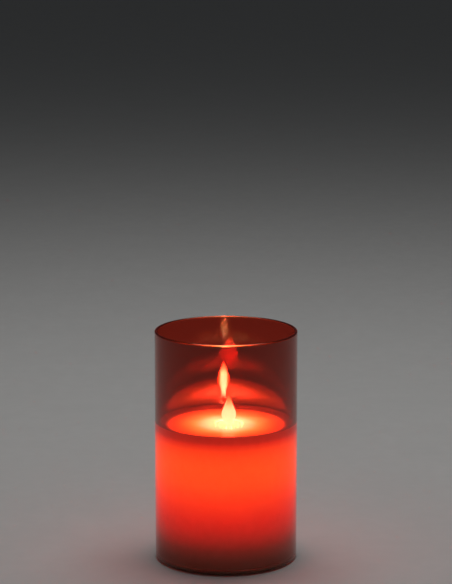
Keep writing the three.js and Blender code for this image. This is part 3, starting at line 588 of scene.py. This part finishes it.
FLAME_ALONG = [
    # share of the way from the pivot to the tip, and colour
    (0.18, (0.0, 0.0, 0.0)),
    (0.28, (0.8, 0.8, 0.8)),
    (0.40, (1.0, 1.0, 1.0)),
    (0.66, (1.0, 1.0, 0.97)),
    (0.76, (0.90, 0.78, 0.66)),
    (0.85, (0.62, 0.36, 0.24)),
    (0.93, (0.38, 0.13, 0.06)),
    (1.0, (0.20, 0.05, 0.015)),
]
FLAME_FRONT = (0.26, 0.053, 0.045)
FLAME_REAR = [
    # share of the half width, and colour
    (0.0, (1.0, 0.94, 1.0)),
    (0.42, (0.96, 0.88, 0.84)),
    (0.60, (0.60, 0.24, 0.12)),
    (0.80, (0.30, 0.070, 0.022)),
    (1.0, (0.16, 0.024, 0.006)),
]
REAR_BEGINS, REAR_FULL = -0.3, 0.5      # how far the surface turns to the rear, from -1 to 1
LENS_GLOW = (1.0, 0.74, 0.44, 1)
LENS_STRENGTH = 60


def flame_material():
    """Thin translucent plastic, lit from behind by the LED: far brighter on the rear than on the front."""
    result, tree, shader, place = new_material("flame_leaf")
    cloud = grain(tree, place, 3 * MM, 4)
    tones = [(NOISE_LOW, (0.92, 0.80, 0.56)), (NOISE_HIGH, (0.98, 0.90, 0.70))]
    tree.links.new(ramp(tree, cloud, tones), shader.inputs["Base Color"])
    tree.links.new(between(tree, cloud, 0.3, 0.42), shader.inputs["Roughness"])
    bump(tree, shader, grain(tree, place, 0.8 * MM, 4), 0.02 * MM)
    along = ramp(tree, share_of(tree, axis_value(tree, place, "Z"), PIVOT.z, FLAME_HIGH.z), FLAME_ALONG)
    inputs = {0: axis_value(tree, place, "X"), 1: PIVOT.x}
    across = add_node(tree, "ShaderNodeMath", inputs, operation="SUBTRACT").outputs[0]
    from_core = share_of(tree, size_without_sign(tree, across), 0, FLAME_HALF_WIDTH)
    normal = add_node(tree, "ShaderNodeNewGeometry").outputs["Normal"]
    rear = share_of(tree, axis_value(tree, normal, "Y"), REAR_BEGINS, REAR_FULL)
    lit = blend_colours(tree, rear, FLAME_FRONT, ramp(tree, from_core, FLAME_REAR))
    glow(tree, shader, blend_colours(tree, 1.0, lit, along, "MULTIPLY"), FLAME_STRENGTH)
    return result


def build_leaf():
    """The leaf, its neck, the boss round the pivot hole and the tail."""
    shape = bmesh.new()
    rings = []
    for height, half_width in LEAF_OUTLINE:
        z = PIVOT.z + height * MM
        if half_width == 0:
            rings.append(ring_of_points(shape, [(PIVOT.x, PIVOT.y, z)]))
            continue
        width = half_width * MM
        fullness = LEAF_TIP_SHARE + (1 - LEAF_TIP_SHARE) * half_width / NECK_HALF_WIDTH
        depth = LEAF_THICKNESS / 2 * min(1, fullness)
        points = []
        for angle in circle_angles(LEAF_SEGMENTS):
            flatter = math.copysign(abs(math.sin(angle)) ** LEAF_FLATNESS, math.sin(angle))
            points.append((PIVOT.x + width * math.cos(angle), PIVOT.y + depth * flatter, z))
        rings.append(ring_of_points(shape, points))
    for first, second in zip(rings, rings[1:]):
        skin(shape, first, second)
    shape.faces.new(rings[-1])
    return shape


def build_magnet_pad():
    """The round foot of the flame, which the magnet is glued under."""
    corners = [(0, 0), (PAD_RADIUS, 0), (PAD_RADIUS, PAD_HEIGHT), (0, PAD_HEIGHT)]
    shape = lathe(rounded(corners, 0.3 * MM), LEAF_SEGMENTS)
    shape.transform(Matrix.Translation((PIVOT.x, PIVOT.y, FLAME_LOW.z)))
    return shape


def bore_shape(place, radius):
    """A round plug along Y, longer than the leaf is thick."""
    reach = 4 * MM
    shape = bmesh.new()
    ends = []
    for y in (place.y - reach, place.y + reach):
        points = []
        for angle in circle_angles(BORE_SEGMENTS):
            points.append((place.x + radius * math.cos(angle), y, place.z + radius * math.sin(angle)))
        ends.append(ring_of_points(shape, points))
    skin(shape, *ends)
    for end in ends:
        shape.faces.new(end)
    bmesh.ops.recalc_face_normals(shape, faces=shape.faces)
    return shape


def drill(piece, place, radius):
    """Cuts a round hole along Y through a piece at a place."""
    mesh = bpy.data.meshes.new("plug")
    shape = bore_shape(place, radius)
    shape.to_mesh(mesh)
    shape.free()
    plug = bpy.data.objects.new("plug", mesh)
    bpy.context.scene.collection.objects.link(plug)
    cut = piece.modifiers.new("hole", "BOOLEAN")
    cut.object = plug
    cut.operation = "DIFFERENCE"
    cut.solver = "EXACT"
    bpy.context.view_layer.update()
    whole = piece.evaluated_get(bpy.context.evaluated_depsgraph_get())
    result = bpy.data.meshes.new_from_object(whole)
    piece.modifiers.clear()
    piece.data = result
    bpy.data.objects.remove(plug)


def place_flame():
    plastic = flame_material()
    leaf = new_piece("flame_leaf", build_leaf(), "flame", [plastic], ["flame_paddle"])
    drill(leaf, PIVOT, PIVOT_BORE)
    new_piece("magnet_pad", build_magnet_pad(), "flame", [plastic], ["flame_paddle"])


# ---------------------------------------------------------------- LED


def lens_material():
    """Clear epoxy round the glowing chip."""
    result, tree, shader, place = new_material("led_lens")
    haze = grain(tree, place, 0.8 * MM, 3)
    tones = [(NOISE_LOW, (0.95, 0.78, 0.48)), (NOISE_HIGH, (1.0, 0.88, 0.62))]
    tree.links.new(ramp(tree, haze, tones), shader.inputs["Base Color"])
    tree.links.new(between(tree, haze, 0.05, 0.12), shader.inputs["Roughness"])
    bump(tree, shader, haze, 0.01 * MM)
    shader.inputs["Emission Color"].default_value = LENS_GLOW
    shader.inputs["Emission Strength"].default_value = LENS_STRENGTH
    return result


# ---------------------------------------------------------------- feet

FOOT_COUNT = 4
FOOT_SEGMENTS = 48
FOOT_OUTLINE = [
    # shares of the radius and of the height
    (0, 0),
    (0.5, 0),
    (0.58, 0.12),
    (0.66, 0),
    (1, 0),
    (0.97, 1),
    (0, 1),
]


def build_feet(rubber):
    """Round rubber feet, each with a shallow ring pressed into its face."""
    for number in range(1, FOOT_COUNT + 1):
        node = f"foot_pad_{number}"
        low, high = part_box(node)
        radius = (high.x - low.x) / 2
        height = high.z - low.z
        corners = [(across * radius, up * height) for across, up in FOOT_OUTLINE]
        shape = lathe(rounded(corners, 0.25 * MM), FOOT_SEGMENTS)
        shape.transform(Matrix.Translation(((low.x + high.x) / 2, (low.y + high.y) / 2, low.z)))
        new_piece(f"foot_{number}", shape, "root", [rubber], [node])


# ---------------------------------------------------------------- carried-over CAD pieces

SEAM = 0.002 * MM
EASED_EDGE = 0.12 * MM
SCREW_EDGE = 0.06 * MM
SHARP_CORNER = math.radians(40)


def dress(node, material):
    """A CAD node keeps its mesh, joined along its seams, and gets its own material."""
    piece = NODES[node]
    piece.data.materials.clear()
    piece.data.materials.append(material)
    weld = piece.modifiers.new("weld", "WELD")
    weld.merge_threshold = SEAM
    return piece


def ease_edges(piece, width):
    """Takes the sharpness off a moulded or stamped piece."""
    ease = piece.modifiers.new("eased_edges", "BEVEL")
    ease.width = width
    ease.segments = 2
    ease.limit_method = "ANGLE"
    ease.angle_limit = SHARP_CORNER
    ease.use_clamp_overlap = True


def round_off(piece):
    """Rounds a wire by one subdivision."""
    soft = piece.modifiers.new("rounded", "SUBSURF")
    soft.levels = 1
    soft.render_levels = 1


FINE = 0.25 * MM
# name, dark and light colour, lowest and highest roughness, grain size, grain depth
IVORY = moulded("ivory_plastic", (0.70, 0.62, 0.46), (0.82, 0.75, 0.60), (0.42, 0.6), 0.4 * MM, 0.03 * MM)
WHITE = moulded("white_plastic", (0.74, 0.72, 0.66), (0.85, 0.84, 0.79), (0.32, 0.48))
BLACK = moulded("black_plastic", (0.012, 0.012, 0.014), (0.035, 0.035, 0.04), (0.38, 0.55))
RUBBER = moulded("foot_rubber", (0.016, 0.016, 0.017), (0.045, 0.044, 0.043), (0.7, 0.9), FINE, 0.03 * MM)
RED_WIRE = moulded("red_insulation", (0.30, 0.012, 0.010), (0.48, 0.025, 0.02), (0.35, 0.5), 0.3 * MM)
BLACK_WIRE = moulded("black_insulation", (0.01, 0.01, 0.01), (0.03, 0.03, 0.03), (0.35, 0.5), 0.3 * MM)
CHIP = moulded("chip_epoxy", (0.010, 0.010, 0.012), (0.030, 0.030, 0.034), (0.5, 0.65), 0.2 * MM, 0.02 * MM)
BOARD = moulded("solder_mask", (0.01, 0.085, 0.028), (0.022, 0.16, 0.055), (0.22, 0.36), 1.1 * MM, 0.02 * MM)
CELL = moulded("cell_wrap", (0.012, 0.020, 0.045), (0.035, 0.055, 0.11), (0.2, 0.32), 1.5 * MM, 0.01 * MM)
# name, dark and light colour, lowest and highest roughness, stretch of the marks
STEEL = metal("zinc_plate", (0.42, 0.43, 0.44), (0.62, 0.62, 0.61), (0.22, 0.42))
NICKEL = metal("nickel_plate", (0.55, 0.52, 0.46), (0.72, 0.69, 0.62), (0.16, 0.34), (1, 1, 6))
COPPER = metal("copper_wire", (0.42, 0.15, 0.05), (0.68, 0.30, 0.12), (0.2, 0.38), (1, 1, 8))

LIT_LOW = 62 * MM
LIT_HIGH = 73 * MM
LIT_GLOW = [
    # share of the way from LIT_LOW to LIT_HIGH, and colour
    (0.0, (0.0, 0.0, 0.0)),
    (0.35, (0.30, 0.16, 0.08)),
    (0.7, (0.48, 0.33, 0.21)),
    (1.0, (0.50, 0.38, 0.27)),
]


def lit_plastic():
    """Thin white plastic round the flame's foot, with a painted glow at its top end where the LED lights it
    through.
    """
    # painted shade: base colours darker and browner than the white plastic's
    result = moulded("lit_white_plastic", (0.30, 0.18, 0.11), (0.38, 0.24, 0.15), (0.5, 0.62))
    tree = result.node_tree
    place = add_node(tree, "ShaderNodeTexCoord").outputs["Object"]
    height = share_of(tree, axis_value(tree, place, "Z"), LIT_LOW, LIT_HIGH)
    glow(tree, tree.nodes["Principled BSDF"], ramp(tree, height, LIT_GLOW), POOL_STRENGTH)
    return result


SOLID_PARTS = [
    (IVORY, ["base_cap", "battery_door"]),
    (WHITE, ["switch_lever", "tower_deck"]),
    (lit_plastic(), ["tower_shell_front", "tower_shell_rear", "led_holder"]),
    (BLACK, ["battery_box", "switch_body", "coil_bobbin"]),
    (BOARD, ["circuit_board"]),
    (CHIP, ["controller_chip", "transistor", "resistor_1", "resistor_2"]),
    (CELL, ["battery_cell_1", "battery_cell_2", "battery_cell_3"]),
    (NICKEL, ["positive_contact", "negative_contact", "bridge_contact_left", "bridge_contact_right"]),
    (NICKEL, ["pendulum_magnet"]),
    (STEEL, ["capacitor", "pivot_wire"]),
    (COPPER, ["coil_winding"]),
    (lens_material(), ["led"]),
]
WIRES = [
    (RED_WIRE, ["positive_wire", "switch_wire", "led_wire_plus"]),
    (BLACK_WIRE, ["negative_wire", "led_wire_minus"]),
    (COPPER, ["coil_wire_start", "coil_wire_end"]),
]
SCREWS = [name for name in NODES if "_screw_" in name]


def dress_cad_parts():
    for material, names in SOLID_PARTS:
        for name in names:
            ease_edges(dress(name, material), EASED_EDGE)
    for name in SCREWS:
        ease_edges(dress(name, STEEL), SCREW_EDGE)
    for material, names in WIRES:
        for name in names:
            round_off(dress(name, material))


# ---------------------------------------------------------------- floor, lights and camera

FLOOR_HALF = 7.0
SOFTBOX_PLACE = Vector((0.05, 0.22, 1.1))
SOFTBOX_TARGET = Vector((0, 0.02, 0))
SOFTBOX_SIZE = (0.9, 0.7)
SOFTBOX_POWER = 4.0
ROOM_TINT = (0.9, 0.95, 1.0, 1)
ROOM_LIGHT = 0.03
CAMERA_PLACE = (0, -1.269, 0.3978)
CAMERA_TILT = 78.737                    # degrees up from straight down
FOCAL_LENGTH = 150.7                    # millimetres, as is the sensor
SENSOR_WIDTH = 36
FARTHEST_VIEW = 50
BRIGHTEST_BOUNCE = 100
scene = bpy.context.scene


def build_floor():
    half = FLOOR_HALF
    mesh = bpy.data.meshes.new("floor")
    corners = [(-half, -half, 0), (half, -half, 0), (half, half, 0), (-half, half, 0)]
    mesh.from_pydata(corners, [], [(0, 1, 2, 3)])
    paint = moulded("pale_floor", (0.78, 0.77, 0.75), (0.83, 0.82, 0.80), (0.6, 0.75), 40 * MM)
    mesh.materials.append(paint)
    floor = bpy.data.objects.new("floor", mesh)
    scene.collection.objects.link(floor)


def add_lights():
    """One softbox above and a little behind, and a dim even room."""
    light = bpy.data.lights.new("softbox", "AREA")
    light.shape = "RECTANGLE"
    light.size, light.size_y = SOFTBOX_SIZE
    light.energy = SOFTBOX_POWER
    holder = bpy.data.objects.new("softbox", light)
    holder.location = SOFTBOX_PLACE
    holder.rotation_euler = (SOFTBOX_TARGET - SOFTBOX_PLACE).to_track_quat("-Z", "Y").to_euler()
    scene.collection.objects.link(holder)
    scene.world = bpy.data.worlds.new("studio")
    scene.world.use_nodes = True
    backdrop = scene.world.node_tree.nodes["Background"]
    backdrop.inputs["Color"].default_value = ROOM_TINT
    backdrop.inputs["Strength"].default_value = ROOM_LIGHT


def add_camera():
    """A long lens at the front, looking slightly down."""
    data = bpy.data.cameras.new("camera")
    data.lens = FOCAL_LENGTH
    data.sensor_width = SENSOR_WIDTH
    data.clip_end = FARTHEST_VIEW
    camera = bpy.data.objects.new("camera", data)
    camera.location = CAMERA_PLACE
    camera.rotation_euler = (math.radians(CAMERA_TILT), 0, 0)
    scene.collection.objects.link(camera)
    bpy.context.scene.camera = camera


build_glass()
build_wax()
place_flame()
build_feet(RUBBER)
dress_cad_parts()
build_floor()
add_lights()
add_camera()
scene.view_settings.view_transform = "Standard"
scene.cycles.sample_clamp_indirect = BRIGHTEST_BOUNCE

bpy.context.view_layer.update()
